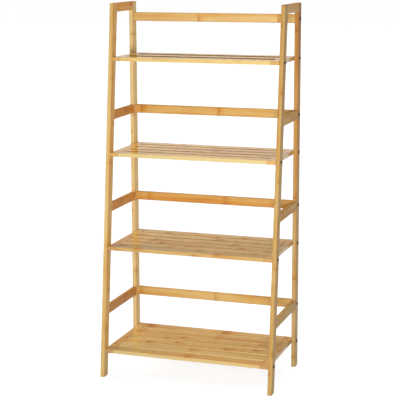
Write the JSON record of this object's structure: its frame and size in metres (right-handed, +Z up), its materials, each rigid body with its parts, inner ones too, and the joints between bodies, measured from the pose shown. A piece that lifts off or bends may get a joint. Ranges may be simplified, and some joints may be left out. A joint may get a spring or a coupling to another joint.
{
  "type": "ladder shelf",
  "caption": "Free-standing bamboo ladder shelf: raked front legs and upright rear legs carry slatted shelves that get deeper towards the floor, with rails at the sides and back.",
  "frame": {"origin": "on the floor, midway between the left and right legs and between the front and rear faces of the feet", "axes": "+X to the right seen from the front, +Y to the rear, +Z up"},
  "size_m": [0.5836, 0.325, 1.2],
  "materials": {
    "bamboo_leg": "satin lacquer",
    "bamboo_rail": "satin lacquer",
    "bamboo_shelf": "satin lacquer",
    "screw_black": "satin black"
  },
  "bodies": {
    "root": {"back_rail_screws": "screw_black", "bottom_back_rail": "bamboo_rail", "bottom_shelf_left_end_rail": "bamboo_shelf", "bottom_shelf_right_end_rail": "bamboo_shelf", "bottom_shelf_slat_1": "bamboo_shelf", "bottom_shelf_slat_2": "bamboo_shelf", "bottom_shelf_slat_3": "bamboo_shelf", "bottom_shelf_slat_4": "bamboo_shelf", "bottom_shelf_slat_5": "bamboo_shelf", "bottom_shelf_slat_6": "bamboo_shelf", "left_bottom_guard_rail": "bamboo_rail", "left_front_leg": "bamboo_leg", "left_lower_guard_rail": "bamboo_rail", "left_rear_leg": "bamboo_leg", "left_top_rail": "bamboo_rail", "left_upper_guard_rail": "bamboo_rail", "lower_back_rail": "bamboo_rail", "lower_shelf_left_end_rail": "bamboo_shelf", "lower_shelf_right_end_rail": "bamboo_shelf", "lower_shelf_slat_1": "bamboo_shelf", "lower_shelf_slat_2": "bamboo_shelf", "lower_shelf_slat_3": "bamboo_shelf", "lower_shelf_slat_4": "bamboo_shelf", "lower_shelf_slat_5": "bamboo_shelf", "lower_shelf_slat_6": "bamboo_shelf", "right_bottom_guard_rail": "bamboo_rail", "right_front_leg": "bamboo_leg", "right_lower_guard_rail": "bamboo_rail", "right_rear_leg": "bamboo_leg", "right_top_rail": "bamboo_rail", "right_upper_guard_rail": "bamboo_rail", "shelf_screws": "screw_black", "top_back_rail": "bamboo_rail", "top_shelf_left_end_rail": "bamboo_shelf", "top_shelf_right_end_rail": "bamboo_shelf", "top_shelf_slat_1": "bamboo_shelf", "top_shelf_slat_2": "bamboo_shelf", "top_shelf_slat_3": "bamboo_shelf", "upper_back_rail": "bamboo_rail", "upper_shelf_left_end_rail": "bamboo_shelf", "upper_shelf_right_end_rail": "bamboo_shelf", "upper_shelf_slat_1": "bamboo_shelf", "upper_shelf_slat_2": "bamboo_shelf", "upper_shelf_slat_3": "bamboo_shelf", "upper_shelf_slat_4": "bamboo_shelf", "upper_shelf_slat_5": "bamboo_shelf"}
  },
  "joints": []
}
